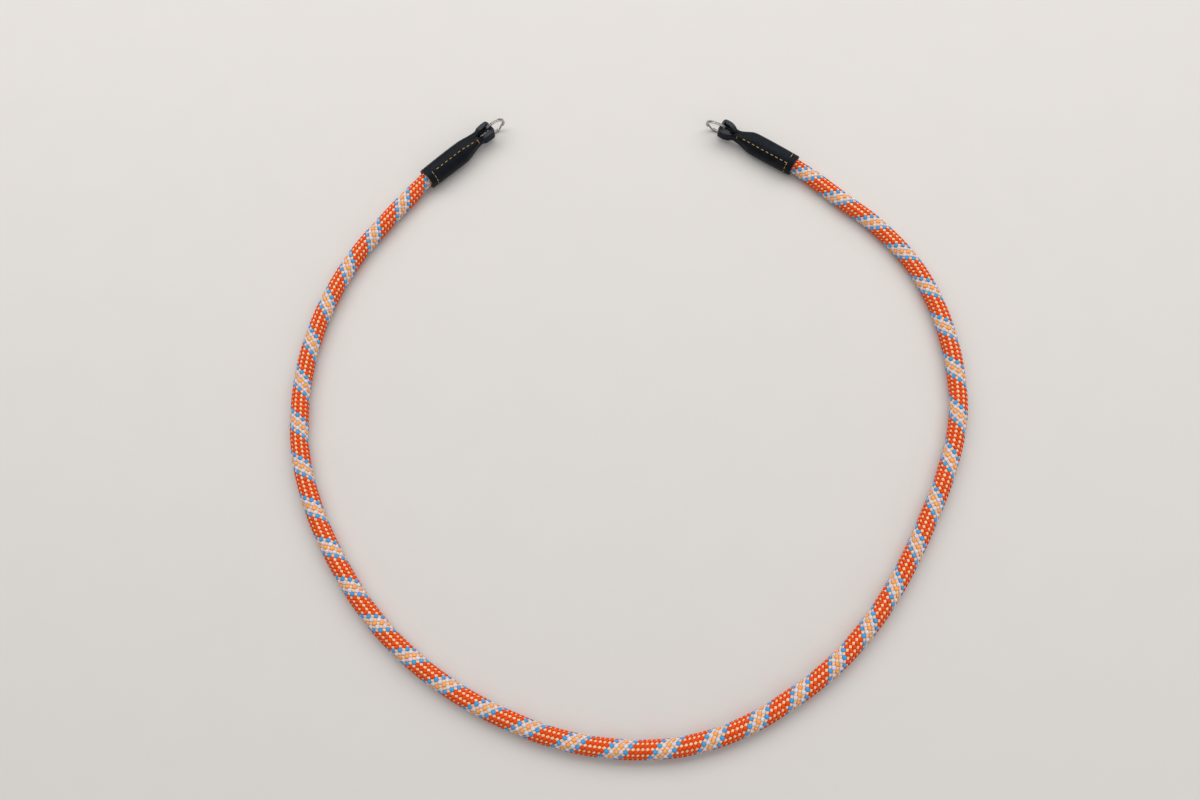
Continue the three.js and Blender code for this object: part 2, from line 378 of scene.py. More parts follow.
def bar(sides, steps):
    """A straight bar of round section with both ends closed, cut across into that many steps."""
    bm = bmesh.new()
    bmesh.ops.create_cone(
        bm, cap_ends=True, cap_tris=False, segments=sides, radius1=1, radius2=1, depth=1
    )
    long_edges = [e for e in bm.edges if abs(e.verts[0].co.z - e.verts[1].co.z) > 0.5]
    bmesh.ops.subdivide_edges(bm, edges=long_edges, cuts=steps - 1, use_grid_fill=True)
    return bm


def sheet(columns, rows):
    """A flat grid of unit size from -1 to 1, to be bent into shape."""
    bm = bmesh.new()
    bmesh.ops.create_grid(bm, x_segments=columns, y_segments=rows, size=1)
    return bm


def coordinates(mesh):
    flat = np.empty(len(mesh.vertices) * 3, np.float32)
    mesh.vertices.foreach_get("co", flat)
    return flat.reshape(-1, 3).astype(float)


def new_piece(name, bm, material):
    """Makes a mesh object of a bmesh, rides it on the body and gives it its material."""
    mesh = bpy.data.meshes.new(name)
    bm.to_mesh(mesh)
    bm.free()
    piece = bpy.data.objects.new(name, mesh)
    bpy.context.collection.objects.link(piece)
    for one in material if isinstance(material, list) else [material]:
        mesh.materials.append(one)
    mesh.polygons.foreach_set("use_smooth", [True] * len(mesh.polygons))
    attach(piece, "root")
    return piece


def shape(piece, points):
    """Puts a piece's vertices where they belong."""
    piece.data.vertices.foreach_set("co", np.asarray(points, np.float32).ravel())
    piece.data.update()


def unwrap(piece, across, along):
    """Gives a piece a UV map that follows it: one pair of numbers for each vertex."""
    layer = piece.data.uv_layers.new(name="follow")
    corner = np.empty(len(piece.data.loops), np.int32)
    piece.data.loops.foreach_get("vertex_index", corner)
    layer.data.foreach_set("uv", np.stack([across[corner], along[corner]], axis=1).ravel())


def add(tree, kind, settings=None, links=None, **inputs):
    """Adds a node. settings are its own fields, links go from sockets to its inputs, and inputs
    are plain values."""
    node = tree.nodes.new(kind)
    for field, value in (settings or {}).items():
        setattr(node, field, value)
    for socket, source in (links or {}).items():
        tree.links.new(source, node.inputs[socket])
    for socket, value in inputs.items():
        node.inputs[socket.replace("_", " ")].default_value = value
    return node


def blank_material(name):
    made = bpy.data.materials.new(name)
    made.use_nodes = True
    tree = made.node_tree
    tree.nodes.clear()
    surface = add(tree, "ShaderNodeBsdfPrincipled")
    out = add(tree, "ShaderNodeOutputMaterial")
    tree.links.new(surface.outputs["BSDF"], out.inputs["Surface"])
    return made, tree, surface


def set_inputs(surface, **values):
    for socket, value in values.items():
        surface.inputs[socket.replace("_", " ")].default_value = value


def mixed(tree, factor, first, second):
    """A colour between two, by a factor socket."""
    node = add(tree, "ShaderNodeMix", {"data_type": "RGBA"})
    tree.links.new(factor, node.inputs[0])
    node.inputs[6].default_value = first
    node.inputs[7].default_value = second
    return node.outputs[2]


def darker(colour, share):
    return (*[v * share for v in colour[:3]], 1)


def deeper(colour):
    """Painted shade for a strand's sides and for where it dives: its colour darker, and stronger in
    its own hue.
    """
    return (*[0.55 * v**1.6 for v in colour[:3]], 1)


def folded(tree, value, low, high):
    """How near a running number is to a whole one, as 0 where it is high away and 1 at low."""
    away = add(tree, "ShaderNodeMath", {"operation": "PINGPONG"})
    tree.links.new(value, away.inputs[0])
    away.inputs[1].default_value = 0.5
    near = add(
        tree,
        "ShaderNodeMapRange",
        {"interpolation_type": "SMOOTHSTEP"},
        {"Value": away.outputs["Value"]},
        From_Min=high,
        From_Max=low,
    )
    return near.outputs["Result"]


def yarn(name, colour):
    """Braided polyamide yarn: bright dyed filaments laid side by side, with fine streaks along the
    strand, a soft satin gloss, and painted shade down its sides and where it dives."""
    made, tree, surface = blank_material(name)
    follow = add(tree, "ShaderNodeUVMap", {"uv_map": "follow"})
    # Twelve filament bundles lie across a strand, and a streak runs about 9 mm, or two of the
    # crossings that the map's second number counts
    stretched = add(
        tree,
        "ShaderNodeMapping",
        links={"Vector": follow.outputs["UV"]},
        Scale=(12, 0.45, 1),
    )
    streaks = add(
        tree,
        "ShaderNodeTexNoise",
        {"noise_dimensions": "2D"},
        {"Vector": stretched.outputs["Vector"]},
        Scale=1.0,
        Detail=2.0,
        Roughness=0.6,
    )
    tone = add(
        tree,
        "ShaderNodeMapRange",
        links={"Value": streaks.outputs["Fac"]},
        From_Min=0.3,
        From_Max=0.62,
    )
    streaked = mixed(tree, tone.outputs["Result"], darker(colour, 0.75), colour)
    # Both numbers are whole on the crest of a strand's float; away from the crest the colour goes to
    # painted shade, down the strand's sides and where it dives
    parts = add(tree, "ShaderNodeSeparateXYZ", links={"Vector": follow.outputs["UV"]})
    lit = add(tree, "ShaderNodeMath", {"operation": "MULTIPLY"})
    tree.links.new(folded(tree, parts.outputs["X"], 0.07, 0.2), lit.inputs[0])
    tree.links.new(folded(tree, parts.outputs["Y"], 0.1, 0.3), lit.inputs[1])
    # Painted shade: the crest keeps the yarn's colour, the sides and dives take the darker tone
    shaded = mixed(tree, lit.outputs["Value"], deeper(colour), colour)
    tree.links.new(streaked, shaded.node.inputs[7])
    tree.links.new(shaded, surface.inputs["Base Color"])
    rough = add(
        tree,
        "ShaderNodeMapRange",
        links={"Value": streaks.outputs["Fac"]},
        To_Min=0.75,
        To_Max=0.55,
    )
    tree.links.new(rough.outputs["Result"], surface.inputs["Roughness"])
    raised = add(
        tree,
        "ShaderNodeBump",
        links={"Height": streaks.outputs["Fac"]},
        Strength=0.5,
        Distance=0.12 * MM,
    )
    tree.links.new(raised.outputs["Normal"], surface.inputs["Normal"])
    set_inputs(surface, IOR=1.53, Metallic=0.0, Specular_IOR_Level=0.12)
    set_inputs(surface, Sheen_Weight=0.02, Sheen_Roughness=0.4)
    return made


def full_grain(name, colour):
    """Full-grain cow leather, drum dyed black and waxed: close pebbled grain with fine creases,
    a dull sheen that is glossier on the high spots."""
    made, tree, surface = blank_material(name)
    place = add(tree, "ShaderNodeTexCoord")
    # Grain cells about 0.55 mm across
    grain = add(
        tree,
        "ShaderNodeTexVoronoi",
        {"feature": "DISTANCE_TO_EDGE"},
        {"Vector": place.outputs["Object"]},
        Scale=1 / (0.55 * MM),
    )
    pebbles = add(
        tree,
        "ShaderNodeMapRange",
        links={"Value": grain.outputs["Distance"]},
        From_Max=0.22,
    )
    # Creases and wear change over about 5 mm
    wear = add(
        tree,
        "ShaderNodeTexNoise",
        links={"Vector": place.outputs["Object"]},
        Scale=1 / (5 * MM),
        Detail=5.0,
        Roughness=0.65,
    )
    shade = add(
        tree,
        "ShaderNodeMapRange",
        links={"Value": wear.outputs["Fac"]},
        From_Min=0.35,
        From_Max=0.75,
    )
    lighter = tuple(v * 1.9 + 0.002 for v in colour[:3]) + (1,)
    tree.links.new(
        mixed(tree, shade.outputs["Result"], colour, lighter), surface.inputs["Base Color"]
    )
    rough = add(
        tree,
        "ShaderNodeMapRange",
        links={"Value": pebbles.outputs["Result"]},
        To_Min=0.52,
        To_Max=0.3,
    )
    tree.links.new(rough.outputs["Result"], surface.inputs["Roughness"])
    fine = add(
        tree,
        "ShaderNodeBump",
        links={"Height": pebbles.outputs["Result"]},
        Strength=0.45,
        Distance=0.08 * MM,
    )
    creased = add(
        tree,
        "ShaderNodeBump",
        links={"Height": wear.outputs["Fac"], "Normal": fine.outputs["Normal"]},
        Strength=0.5,
        Distance=0.5 * MM,
    )
    tree.links.new(creased.outputs["Normal"], surface.inputs["Normal"])
    set_inputs(surface, IOR=1.5, Metallic=0.0, Specular_IOR_Level=0.1)
    return made


def cut_edge_and_painted_highlight(name, colour):
    """The cut edge of the same hide: matt, fibrous and inked dark grey; lighter and bluer than the
    face, it is partly the edge's own tone and partly a painted highlight along the strip's edges.
    """
    made, tree, surface = blank_material(name)
    place = add(tree, "ShaderNodeTexCoord")
    # Loose fibres about 0.3 mm apart
    fibres = add(
        tree,
        "ShaderNodeTexNoise",
        links={"Vector": place.outputs["Object"]},
        Scale=1 / (0.3 * MM),
        Detail=3.0,
    )
    tree.links.new(
        mixed(tree, fibres.outputs["Fac"], darker(colour, 0.6), tuple(v * 1.6 for v in colour)),
        surface.inputs["Base Color"],
    )
    raised = add(
        tree,
        "ShaderNodeBump",
        links={"Height": fibres.outputs["Fac"]},
        Strength=0.6,
        Distance=0.1 * MM,
    )
    tree.links.new(raised.outputs["Normal"], surface.inputs["Normal"])
    set_inputs(surface, IOR=1.5, Metallic=0.0, Roughness=0.8)
    return made


def waxed_thread(name, colour):
    """Waxed polyester thread: three plies twisted together, with a slight shine."""
    made, tree, surface = blank_material(name)
    follow = add(tree, "ShaderNodeUVMap", {"uv_map": "follow"})
    turned = add(
        tree,
        "ShaderNodeMapping",
        links={"Vector": follow.outputs["UV"]},
        Rotation=(0, 0, math.radians(35)),
        Scale=(3, 3, 1),
    )
    plies = add(
        tree,
        "ShaderNodeTexWave",
        {"bands_direction": "X"},
        {"Vector": turned.outputs["Vector"]},
        Scale=1.0,
        Distortion=0.6,
    )
    tree.links.new(
        mixed(tree, plies.outputs["Fac"], darker(colour, 0.55), colour),
        surface.inputs["Base Color"],
    )
    raised = add(
        tree,
        "ShaderNodeBump",
        links={"Height": plies.outputs["Fac"]},
        Strength=0.6,
        Distance=0.1 * MM,
    )
    tree.links.new(raised.outputs["Normal"], surface.inputs["Normal"])
    set_inputs(surface, IOR=1.5, Metallic=0.0, Roughness=0.45)
    return made


def nickel_plate(name, colour):
    """Nickel-plated spring steel: bright, drawn lengthways, with fine rubbed marks."""
    made, tree, surface = blank_material(name)
    follow = add(tree, "ShaderNodeUVMap", {"uv_map": "follow"})
    # Drawing marks about 0.1 mm apart that run 6 mm along the wire
    drawn = add(
        tree,
        "ShaderNodeMapping",
        links={"Vector": follow.outputs["UV"]},
        Scale=(50, 0.16, 1),
    )
    marks = add(
        tree,
        "ShaderNodeTexNoise",
        {"noise_dimensions": "2D"},
        {"Vector": drawn.outputs["Vector"]},
        Scale=1.0,
        Detail=3.0,
    )
    rough = add(
        tree,
        "ShaderNodeMapRange",
        links={"Value": marks.outputs["Fac"]},
        To_Min=0.16,
        To_Max=0.34,
    )
    tree.links.new(rough.outputs["Result"], surface.inputs["Roughness"])
    tree.links.new(
        mixed(tree, marks.outputs["Fac"], darker(colour, 0.82), colour),
        surface.inputs["Base Color"],
    )
    set_inputs(surface, Metallic=1.0)
    return made


def matt_floor(name, colour):
    """Matt painted board: pale and even, with a trace of roller texture."""
    made, tree, surface = blank_material(name)
    place = add(tree, "ShaderNodeTexCoord")
    # Roller marks about 30 mm across
    cloud = add(
        tree,
        "ShaderNodeTexNoise",
        links={"Vector": place.outputs["Object"]},
        Scale=1 / (30 * MM),
        Detail=4.0,
    )
    tree.links.new(
        mixed(tree, cloud.outputs["Fac"], darker(colour, 0.97), colour),
        surface.inputs["Base Color"],
    )
    set_inputs(surface, IOR=1.5, Metallic=0.0, Roughness=0.85)
    return made


class STRAP_OT_stage(bpy.types.Operator):
    """Lays a pale floor, hangs soft lights and sets the camera at the picture's angle"""

    bl_idname = "strap.stage"
    bl_label = "Stage"

    def execute(self, context):
        settings = context.scene.strap_stage
        bm = sheet(1, 1)
        bmesh.ops.scale(bm, vec=(FLOOR_REACH, FLOOR_REACH, 1), verts=bm.verts)
        mesh = bpy.data.meshes.new("floor")
        bm.to_mesh(mesh)
        bm.free()
        floor = bpy.data.objects.new("floor", mesh)
        mesh.materials.append(matt_floor("matt_painted_board", settings.floor))
        context.collection.objects.link(floor)

        for name, (place, size, share) in LIGHTS.items():
            self.light(context, name, place, size, settings.light * share)

        world = bpy.data.worlds.new("room")
        world.use_nodes = True
        backdrop = world.node_tree.nodes["Background"]
        backdrop.inputs["Color"].default_value = linear(ROOM_COLOUR)
        backdrop.inputs["Strength"].default_value = ROOM_STRENGTH
        context.scene.world = world
        context.scene.view_settings.view_transform = "Standard"

        data = bpy.data.cameras.new("camera")
        data.sensor_width = SENSOR
        data.lens = FOCAL_PIXELS * SENSOR / PICTURE_WIDTH
        data.clip_start = 0.01
        camera = bpy.data.objects.new("camera", data)
        camera.location = CAMERA_PLACE
        camera.rotation_euler = (CAMERA_TILT, 0, 0)
        context.collection.objects.link(camera)
        context.scene.camera = camera
        return {"FINISHED"}

    def light(self, context, name, place, size, power):
        """A broad soft light that faces the middle of the loop."""
        data = bpy.data.lights.new(name, "AREA")
        data.shape = "RECTANGLE"
        data.size, data.size_y = size
        data.energy = power
        lamp = bpy.data.objects.new(name, data)
        lamp.location = place
        from_loop = lamp.location - Vector(LOOP_MIDDLE)
        lamp.rotation_euler = from_loop.to_track_quat("Z", "Y").to_euler()
        context.collection.objects.link(lamp)


class STRAP_OT_rope_core(bpy.types.Operator):
    """Sweeps the rope's core along its route, under the sheath"""

    bl_idname = "strap.rope_core"
    bl_label = "Rope core"

    def execute(self, context):
        rope = context.scene.strap_rope
        route = Route(rope)
        # The core takes the red darkened to 0.3 as painted shade, for where it shows in the holes
        # between the strands
        core_yarn_in_painted_shade = yarn("core_yarn_in_painted_shade", darker(rope.red, 0.3))
        core = new_piece("rope_core", bar(16, CORE_STEPS), core_yarn_in_painted_shade)
        points = coordinates(core.data)
        at = (points[:, 2] + 0.5) * route.length
        spot, left, up = route.place(at)
        inset = rope.strand_depth + rope.weave * 0.6
        size = route.grip(at)[:, None]
        wide = (rope.width / 2 - inset) * points[:, :1] * size * left
        high = (rope.height / 2 - inset) * points[:, 1:2] * size * up
        shape(core, spot + wide + high)
        round_share = np.arctan2(points[:, 1], points[:, 0]) / (2 * math.pi)
        unwrap(core, round_share, at / (10 * MM))
        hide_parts("rope")
        return {"FINISHED"}


class STRAP_OT_sheath(bpy.types.Operator):
    """Braids the sheath: ten strands each way, one over and one under"""

    bl_idname = "strap.sheath"
    bl_label = "Braided sheath"

    def execute(self, context):
        rope = context.scene.strap_rope
        route = Route(rope)
        colours = {
            "red": rope.red,
            "white": rope.white,
            "pale": rope.pale,
            "blue": rope.blue,
            "cream": rope.cream,
        }
        yarns = {k: yarn(f"{k}_polyamide_yarn", c) for k, c in colours.items()}
        for name, strands in COLOURED.items():
            tone = yarns[LAY[strands[0]]]
            self.strands(rope, route, f"{name}_strands", tone, strands, -1)
        for part, strands in CREAM.items():
            name = f"cream_strands_{part}"
            self.strands(rope, route, name, yarns["cream"], strands, 1)
        return {"FINISHED"}

    def strands(self, rope, route, name, material, numbers, way):
        """One mesh of the strands with those numbers, wound to the right (1) or left (-1)."""
        shown_from = ROPE_IN_TAB - BRAID_IN_TAB
        low, high = route.turns(shown_from), route.turns(route.length - shown_from)
        steps = int((high - low) * STRANDS_EACH_WAY * 2 * STEPS_PER_CROSSING)
        one = bar(8, steps)
        straight = bpy.data.meshes.new("straight_strand")
        one.to_mesh(straight)
        one.free()
        points = coordinates(straight)
        joined = bmesh.new()
        for _ in numbers:
            joined.from_mesh(straight)
        bpy.data.meshes.remove(straight)
        piece = new_piece(name, joined, material)
        turn = low + (points[:, 2] + 0.5) * (high - low)
        fine_turns = route.turns(route.at)
        at = np.interp(turn, fine_turns, route.at)
        phi = np.arctan2(points[:, 1], points[:, 0])
        placed, across, along = [], [], []
        for number in numbers:
            placed.append(self.wound(rope, route, at, turn, phi, number, way))
            across.append(phi / (2 * math.pi) + number)
            along.append(self.crossings(turn, way) + STREAKS_APART * number)
        shape(piece, np.vstack(placed))
        unwrap(piece, np.concatenate(across), np.concatenate(along))
        return piece

    def crossings(self, turn, way):
        """How many times a strand has come up: a whole number where it lies on top."""
        return STRANDS_EACH_WAY * (turn - FIRST_PALE_TURN) + (0 if way < 0 else 0.5)

    def wound(self, rope, route, at, turn, phi, number, way):
        """Where the points of one strand lie: its helix round the rope, the weave's wave, and
        the strand's own flat section."""
        coloured = way < 0
        height = rope.weave if coloured else rope.cream_weave
        depth = rope.strand_depth if coloured else rope.cream_depth
        widest = rope.float_width if coloured else rope.cream_width
        sunk = 0 if coloured else rope.cream_sunk

        def middle(at, turn):
            pale = LAY.index("pale") if coloured else 0
            shift = (number - pale) / STRANDS_EACH_WAY
            angle = 2 * math.pi * (0.25 + shift + way * (turn - FIRST_PALE_TURN))
            angle = angle + route.twist(at)
            # The strands lie further apart on the back and under the rope than at its sides
            angle = angle - SIDE_SPREAD * np.sin(2 * angle)
            wave = height * np.cos(2 * math.pi * self.crossings(turn, way)) - sunk
            spot, left, up = route.place(at)
            size = route.grip(at)
            inset = rope.strand_depth / 2 + rope.weave
            wide, high = rope.width / 2 - inset, rope.height / 2 - inset
            across, rise = np.cos(angle), np.sin(angle)
            out = left * (across / wide)[:, None] + up * (rise / high)[:, None]
            out /= np.linalg.norm(out, axis=1)[:, None]
            centre = spot + left * (wide * size * across)[:, None] + up * (high * size * rise)[:, None]
            return centre + out * wave[:, None], out

        step = 0.2 * MM
        per_metre = np.gradient(route.turns(route.at), route.at)
        slope = np.interp(at, route.at, per_metre)
        centre, out = middle(at, turn)
        ahead = middle(at + step, turn + step * slope)[0] - middle(at - step, turn - step * slope)[0]
        ahead /= np.linalg.norm(ahead, axis=1)[:, None]
        out -= ahead * np.sum(out * ahead, axis=1)[:, None]
        out /= np.linalg.norm(out, axis=1)[:, None]
        beside = np.cross(ahead, out)
        thick = out * (depth / 2 * np.cos(phi))[:, None]
        on_top = (1 + np.cos(2 * math.pi * self.crossings(turn, way))) / 2
        width = widest * (DIVING_SHARE + (1 - DIVING_SHARE) * on_top)
        broad = beside * (width / 2 * np.sin(phi))[:, None]
        found = centre + thick + broad
        found[:, 2] = np.maximum(found[:, 2], 0)
        return found


def tab_sizes(x, end, rope):
    """Width, height, lift, roundness power and lap of a tab's outside at x from its mouth."""
    round_width = rope.width * GRIP + 2 * (CLEARANCE + WALL)
    round_height = rope.height * GRIP + 2 * (CLEARANCE + WALL)
    waist, eye, start = (ENDS[end][key] for key in ("waist", "eye", "round_length"))
    body = round_width + BULGE * np.sin(math.pi * np.minimum(x, WAIST_AT) / WAIST_AT)
    width = ease(x, start, WAIST_AT, body, waist)
    width = width + ease(x, WAIST_AT, EYE_FROM, 0, eye - waist)
    height = ease(x, start, WAIST_AT, round_height + 2 * FLATTENED, STRIP_HEIGHT)
    lift = ease(x, start, WAIST_AT, round_height / 2, STRIP_LIFT)
    power = 2 / ease(x, start, WAIST_AT, ROUND_SQUARENESS, STRIP_SQUARENESS)
    lap = ease(x, start, WAIST_AT, LAP_STEP, 0)
    return width, height, lift, power, lap


def shift_at(x, end):
    """How far the leather's middle lies to the side of the tab's axis at x."""
    return -ease(x, ENDS[end]["round_length"] + SHIFT_LATER, WAIST_AT, 0, ENDS[end]["shift"])


def ring_centre(end):
    """Where a ring's centre is in its tab's frame: it stands on the table, and the strip's edges
    bear on the inside of its wire."""
    lean, turn = ENDS[end]["ring_lean"], ENDS[end]["ring_turn"]
    outer = RING_DIAMETER / 2
    half = (2 * WIRE_THICKNESS + TURN_GAP) / 2
    edge = (STRIP_HEIGHT / 2 + half * math.sin(lean)) / math.cos(lean)
    room = outer - WIRE_DEPTH - CLEARANCE - half * math.sin(turn)
    past = math.sqrt(room**2 - edge**2)
    lift = outer * math.cos(lean) + half * math.sin(lean) + RING_CLEARANCE
    return TAB_LENGTH - STRIP_WALL + past, -ENDS[end]["ring_aside"], lift


def on_round(x, degrees, end, rope):
    """Points on the tab's outside at x and an angle counted from +y, before the eye opens."""
    width, height, lift, power, lap = tab_sizes(x, end, rope)
    angle = np.radians(degrees)
    c, s = np.cos(angle), np.sin(angle)
    turn = np.asarray(degrees, float) - LAP_ANGLE
    proud = np.where(turn < 0, 0, lap * (1 - smooth(turn, 0, LAP_SPREAD)))
    y = np.sign(c) * np.abs(c) ** power * width / 2 + proud * c + shift_at(x, end)
    z = np.sign(s) * np.abs(s) ** power * height / 2 + proud * s
    return np.stack(np.broadcast_arrays(x, y, lift + z), axis=-1)


def to_strap(points, end):
    """Takes points from a tab's own frame, its mouth at x = 0, to the strap's."""
    way = math.radians(ENDS[end]["heading"])
    c, s = math.cos(way), math.sin(way)
    x, y, z = points[..., 0], points[..., 1] * ENDS[end]["side"], points[..., 2]
    mx, my = ENDS[end]["mouth"]
    return np.stack([mx + c * x - s * y, my + s * x + c * y, z], axis=-1)


class STRAP_OT_leather_tabs(bpy.types.Operator):
    """Folds a strip of leather round each ring and wraps it round the rope's end"""

    bl_idname = "strap.leather_tabs"
    bl_label = "Leather tabs"

    def execute(self, context):
        leather = context.scene.strap_leather
        faces = [
            full_grain("full_grain_leather", leather.colour),
            cut_edge_and_painted_highlight("cut_leather_edge_and_painted_highlight", leather.edge),
        ]
        for end in ENDS:
            self.tab(context, end, faces)
        return {"FINISHED"}

    def tab(self, context, end, faces):
        rope = context.scene.strap_rope
        leg, bend, rows = 96, 10, 40
        columns = 2 * leg + 3 * bend
        bm = sheet(columns, rows)
        piece = new_piece(f"{end}_leather", bm, faces)
        flat = coordinates(piece.data)
        column = np.rint((flat[:, 0] + 1) / 2 * columns)
        down = (1 - flat[:, 1]) / 2
        straight = TAB_LENGTH - EYE_CORNER
        points = np.zeros_like(flat)

        under = column <= leg
        x = straight * column[under] / leg
        points[under] = self.leg(x, down[under], end, rope, upper=False)
        upper = column >= leg + 3 * bend
        x = straight * (columns - column[upper]) / leg
        points[upper] = self.leg(x, down[upper], end, rope, upper=True)
        fold = ~under & ~upper
        points[fold] = self.fold(column[fold] - leg, bend, down[fold], end)

        if ENDS[end]["side"] > 0:
            piece.data.flip_normals()
        points[:, 2] = np.maximum(points[:, 2], 0)
        shape(piece, to_strap(points, end))
        thick = self.wall_at(column, leg, bend, end, rope)
        most = thick.max()
        group = piece.vertex_groups.new(name="wall")
        for one in range(columns + 1):
            here = np.flatnonzero(column == one)
            group.add(here.tolist(), thick[here[0]] / most, "REPLACE")
        wall = piece.modifiers.new("wall", "SOLIDIFY")
        wall.thickness = most
        wall.offset = -1
        wall.vertex_group = group.name
        wall.material_offset_rim = 1
        edge = piece.modifiers.new("edge", "BEVEL")
        edge.limit_method = "ANGLE"
        edge.angle_limit = math.radians(50)
        edge.width = EDGE_ROUNDING
        edge.segments = 3
        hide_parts(f"{end}_leather_tab")

    def leg(self, x, down, end, rope, upper):
        """One leg of the folded strip: wrapped round the rope at the mouth, flat and upright at
        the eye. down runs from its top edge to its bottom one."""
        if upper:
            degrees = LAP_ANGLE + (270 - LAP_ANGLE) * down
        else:
            top, bottom = LAP_ANGLE - FLAPS_APART, FLAPS_APART - 90
            degrees = top + (bottom - top) * down
        wrapped = on_round(x, degrees, end, rope)
        width, _, lift, _, _ = tab_sizes(x, end, rope)
        y = (-width if upper else width) / 2 + shift_at(x, end)
        upright = np.stack([x, y, lift + STRIP_HEIGHT * (0.5 - down)], axis=-1)
        opened = smooth(x, WAIST_AT - OPENS_BEFORE, WAIST_AT + OPENS_AFTER)[:, None]
        return wrapped + (upright - wrapped) * opened

    def wall_at(self, column, leg, bend, end, rope):
        """The leather's thickness in each column: one layer round the rope, up to the middle at
        the neck, what the V-shaped eye leaves of it up to the fold, and one layer in the fold."""
        count = 2 * leg + 3 * bend
        straight = TAB_LENGTH - EYE_CORNER
        x = straight * np.minimum(column, count - column) / leg
        front = TAB_LENGTH - STRIP_WALL
        corner = EYE_CORNER / 2
        half = ENDS[end]["eye"] / 2 - EAR_WALL
        t = np.linspace(0, 1, 60)
        start = WAIST_AT + PRESSED_PAST_WAIST
        eye_x = start * (1 - t) ** 2 + (start + front) * t * (1 - t) + (front - corner) * t**2
        eye_half = half * (EYE_FULLNESS * 2 * t * (1 - t) + t**2)
        width = tab_sizes(x, end, rope)[0]
        ear = np.maximum(width / 2 - np.interp(x, eye_x, eye_half), STRIP_WALL)
        ear = np.minimum(ear, ease(x, straight, straight + EAR_THINS_OVER, EAR_WALL, STRIP_WALL))
        closing = ease(x, WAIST_AT - CLOSES_OVER, WAIST_AT, WALL, ENDS[end]["waist"] / 2)
        return np.where(x > start, ear, closing)

    def fold(self, step, bend, down, end):
        """The end of the strip, bent round two corners behind the ring's wire."""
        half, corner = ENDS[end]["eye"] / 2, EYE_CORNER
        first = step <= bend
        last = step >= 2 * bend
        turn = np.where(first, step / bend, np.where(last, step / bend - 2, 0)) * math.pi / 2
        x_first = TAB_LENGTH - corner + corner * np.sin(turn)
        y_first = half - corner + corner * np.cos(turn)
        x_last = TAB_LENGTH - corner + corner * np.cos(turn)
        y_last = -(half - corner) - corner * np.sin(turn)
        y_middle = (half - corner) * (1 - 2 * (step / bend - 1))
        x = np.where(first, x_first, np.where(last, x_last, TAB_LENGTH))
        y = np.where(first, y_first, np.where(last, y_last, y_middle))
        y = y + shift_at(x, end)
        return np.stack([x, y, STRIP_LIFT + STRIP_HEIGHT * (0.5 - down)], axis=-1)


class STRAP_OT_stitching(bpy.types.Operator):
    """Sews the lap of each tab with single stitches of thread"""

    bl_idname = "strap.stitching"
    bl_label = "Stitching"

    def execute(self, context):
        leather = context.scene.strap_leather
        thread = waxed_thread("waxed_polyester_thread", leather.thread)
        for end in ENDS:
            self.sew(context, end, thread)
        return {"FINISHED"}

    def sew(self, context, end, thread):
        rope = context.scene.strap_rope
        leather = context.scene.strap_leather
        girth = rope.width * GRIP + 2 * (CLEARANCE + WALL)
        seam = ENDS[end]["seam"]
        half = leather.stitch / 2
        stitches = []
        first, pitch, count = ENDS[end]["stitches"]
        for middle in (first + i * pitch for i in range(count)):
            stitches.append(((middle - half, seam), (middle + half, seam)))
        short = math.degrees(half / (girth / 2))
        for middle in ENDS[end]["corner_row"]:
            stitches.append(((CORNER_ROW_AT, middle - short), (CORNER_ROW_AT, middle + short)))
        if ENDS[end]["top_dash"]:
            start, stop = ENDS[end]["top_dash"]
            stitches.append(((CORNER_ROW_AT, start), (CORNER_ROW_AT, stop)))
        start, stop = ENDS[end]["neck_thread"]
        stitches.append(((NECK_THREAD_AT, start), (NECK_THREAD_AT, stop)))

        one = bar(8, 10)
        straight = bpy.data.meshes.new("straight_stitch")
        one.to_mesh(straight)
        one.free()
        points = coordinates(straight)
        joined = bmesh.new()
        for _ in stitches:
            joined.from_mesh(straight)
        bpy.data.meshes.remove(straight)
        piece = new_piece(f"{end}_stitching", joined, thread)
        share = points[:, 2] + 0.5
        phi = np.arctan2(points[:, 1], points[:, 0])
        round_ended = np.sqrt(np.clip(1 - (2 * share - 1) ** 4, 0, 1))
        plump = round_ended * (1 - TIP_SHARE) + TIP_SHARE
        radius = leather.thread_width / 2 * plump
        placed = []
        for (x0, a0), (x1, a1) in stitches:
            x, a = x0 + (x1 - x0) * share, a0 + (a1 - a0) * share
            spot = on_round(x, a, end, rope)
            tiny = 0.05 * MM
            along = on_round(x + (x1 - x0) * 0.01, a + (a1 - a0) * 0.01, end, rope) - spot
            round_it = on_round(x, a + 0.5, end, rope) - on_round(x, a - 0.5, end, rope)
            length = on_round(x + tiny, a, end, rope) - on_round(x - tiny, a, end, rope)
            out = np.cross(length, round_it)
            out /= np.linalg.norm(out, axis=1)[:, None]
            beside = np.cross(along, out)
            beside /= np.linalg.norm(beside, axis=1)[:, None]
            bow = (1 - (2 * share - 1) ** 2) * (BOW_ALONG if a0 == a1 else BOW_ACROSS)
            centre = spot + out * bow[:, None]
            ring = out * (radius * np.cos(phi))[:, None] + beside * (radius * np.sin(phi))[:, None]
            placed.append(centre + ring)
        shape(piece, to_strap(np.vstack(placed), end))
        sewn = len(stitches)
        unwrap(piece, np.tile(phi / math.pi, sewn), np.tile(share * 4, sewn))
        tidy_normals(piece)


def tidy_normals(piece):
    bm = bmesh.new()
    bm.from_mesh(piece.data)
    bmesh.ops.recalc_face_normals(bm, faces=bm.faces)
    bm.to_mesh(piece.data)
    bm.free()


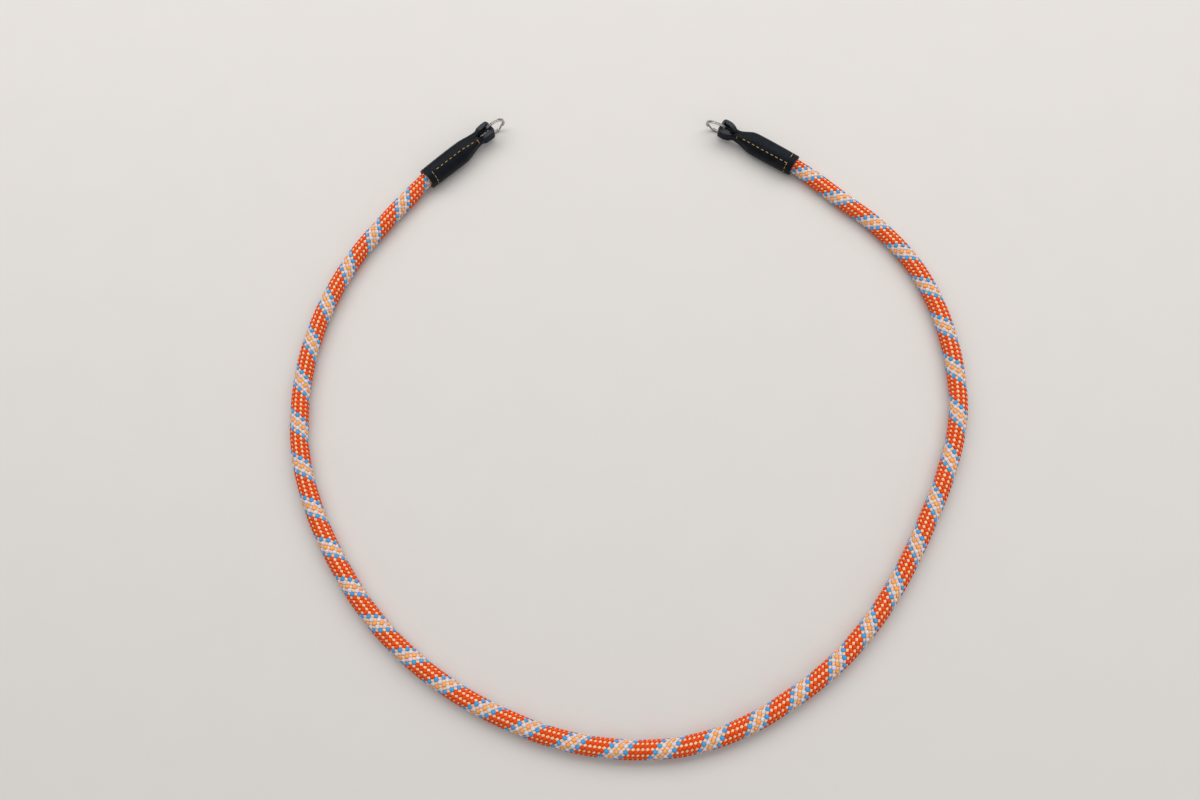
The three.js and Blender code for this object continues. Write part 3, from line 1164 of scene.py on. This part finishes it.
class STRAP_OT_split_rings(bpy.types.Operator):
    """Winds a flat steel wire into a split ring for each eye"""

    bl_idname = "strap.split_rings"
    bl_label = "Split rings"

    def execute(self, context):
        settings = context.scene.strap_ring
        plate = nickel_plate("nickel_plated_steel", settings.colour)
        for end in ENDS:
            piece = new_piece(f"{end}_ring_wire", bar(16, 240), plate)
            self.wind(piece, end, settings.roundness)
            tidy_normals(piece)
            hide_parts(f"{end}_split_ring")
        return {"FINISHED"}

    def wind(self, piece, end, squareness):
        points = coordinates(piece.data)
        share = points[:, 2] + 0.5
        phi = np.arctan2(points[:, 1], points[:, 0])
        first = CROSSING_HALF + WIRE_END_CLEARANCE
        turn = first + share * 2 * (FULL_TURN - first)
        angle = np.radians(CROSSING_AT + turn)
        half = (WIRE_THICKNESS + TURN_GAP) / 2
        along = ease(turn - FULL_TURN, -CROSSING_HALF, CROSSING_HALF, -half, half)
        c, s = np.cos(phi), np.sin(phi)
        power = 2 / squareness
        deep = np.sign(c) * np.abs(c) ** power * WIRE_DEPTH / 2
        thick = np.sign(s) * np.abs(s) ** power * WIRE_THICKNESS / 2
        radius = RING_DIAMETER / 2 - WIRE_DEPTH / 2 + deep
        upright = np.stack([radius * np.cos(angle), along + thick, radius * np.sin(angle)], axis=-1)
        lean = Matrix.Rotation(ENDS[end]["ring_lean"], 3, "X")
        aside = Matrix.Rotation(-ENDS[end]["ring_turn"], 3, "Z")
        placed = upright @ np.array(aside @ lean).T + np.array(ring_centre(end))
        shape(piece, to_strap(placed, end))
        unwrap(piece, phi / (2 * math.pi) + 0.5, turn * math.pi / 180 * radius / MM)


class STRAP_PT_panel(bpy.types.Panel):
    bl_label = "Rope strap"
    bl_idname = "STRAP_PT_panel"
    bl_space_type = "VIEW_3D"
    bl_region_type = "UI"
    bl_category = "Strap"

    def draw(self, context):
        scene = context.scene
        for settings in (scene.strap_rope, scene.strap_leather, scene.strap_ring, scene.strap_stage):
            box = self.layout.box()
            for name in settings.__annotations__:
                box.prop(settings, name)
        for operator in OPERATORS:
            self.layout.operator(operator.bl_idname)


SETTINGS = {
    "strap_rope": RopeSettings,
    "strap_leather": LeatherSettings,
    "strap_ring": RingSettings,
    "strap_stage": StageSettings,
}
OPERATORS = (
    STRAP_OT_stage,
    STRAP_OT_rope_core,
    STRAP_OT_sheath,
    STRAP_OT_leather_tabs,
    STRAP_OT_stitching,
    STRAP_OT_split_rings,
)


def register():
    for cls in (*SETTINGS.values(), *OPERATORS, STRAP_PT_panel):
        bpy.utils.register_class(cls)
    for name, cls in SETTINGS.items():
        setattr(bpy.types.Scene, name, bpy.props.PointerProperty(type=cls))


def unregister():
    for name in SETTINGS:
        delattr(bpy.types.Scene, name)
    for cls in reversed((*SETTINGS.values(), *OPERATORS, STRAP_PT_panel)):
        bpy.utils.unregister_class(cls)


def main():
    register()
    for operator in OPERATORS:
        group, name = operator.bl_idname.split(".")
        getattr(getattr(bpy.ops, group), name)()


if __name__ == "__main__":
    main()
